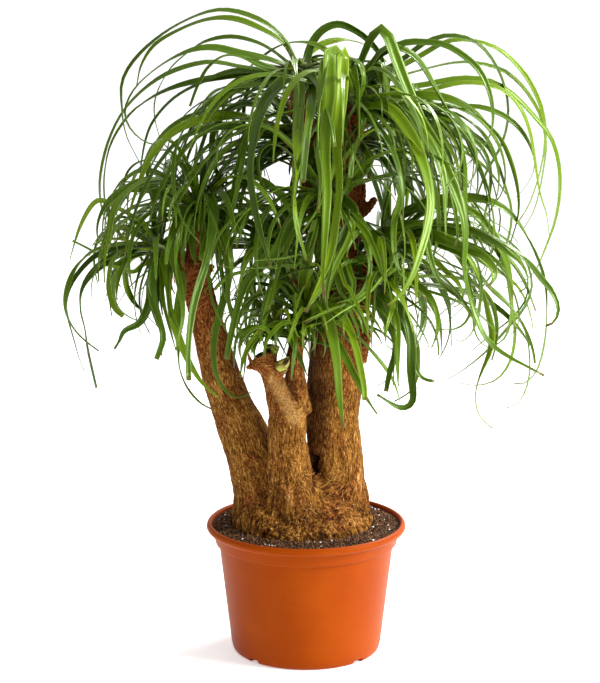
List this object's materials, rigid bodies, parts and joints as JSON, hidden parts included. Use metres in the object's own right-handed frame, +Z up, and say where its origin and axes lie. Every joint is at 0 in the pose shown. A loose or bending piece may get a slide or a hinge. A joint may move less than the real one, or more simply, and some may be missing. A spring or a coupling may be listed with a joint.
{
  "type": "potted ponytail palm",
  "caption": "Potted ponytail palm: bare stems on a swollen base carry heads of arching strap leaves, standing in soil in a tapered nursery pot.",
  "frame": {"origin": "on the ground under the pot's axis", "axes": "+Z up along the plant's height, +X to the plant's right seen from the front, the front faces -Y"},
  "size_m": [0.6677, 0.6196, 0.8651],
  "materials": {
    "pot": "moulded polypropylene, terracotta orange, satin",
    "soil": "dark peat and bark potting mix with white perlite, rough",
    "bark": "tan fibrous corky bark, fissured along the stem, matte",
    "leaf": "green strap leaf with a waxy cuticle, semi-gloss"
  },
  "bodies": {
    "root": {"pot": "pot", "soil": "soil", "trunk": "bark", "leaves_crown_left": "leaf", "leaves_crown_right": "leaf", "leaves_back_left": "leaf", "leaves_back_right": "leaf", "leaves_middle": "leaf", "leaves_right_high": "leaf", "leaves_right_low": "leaf", "leaves_behind": "leaf", "leaves_left_high": "leaf", "leaves_left_low": "leaf", "leaves_twig": "leaf", "leaves_shoot": "leaf"}
  },
  "joints": []
}
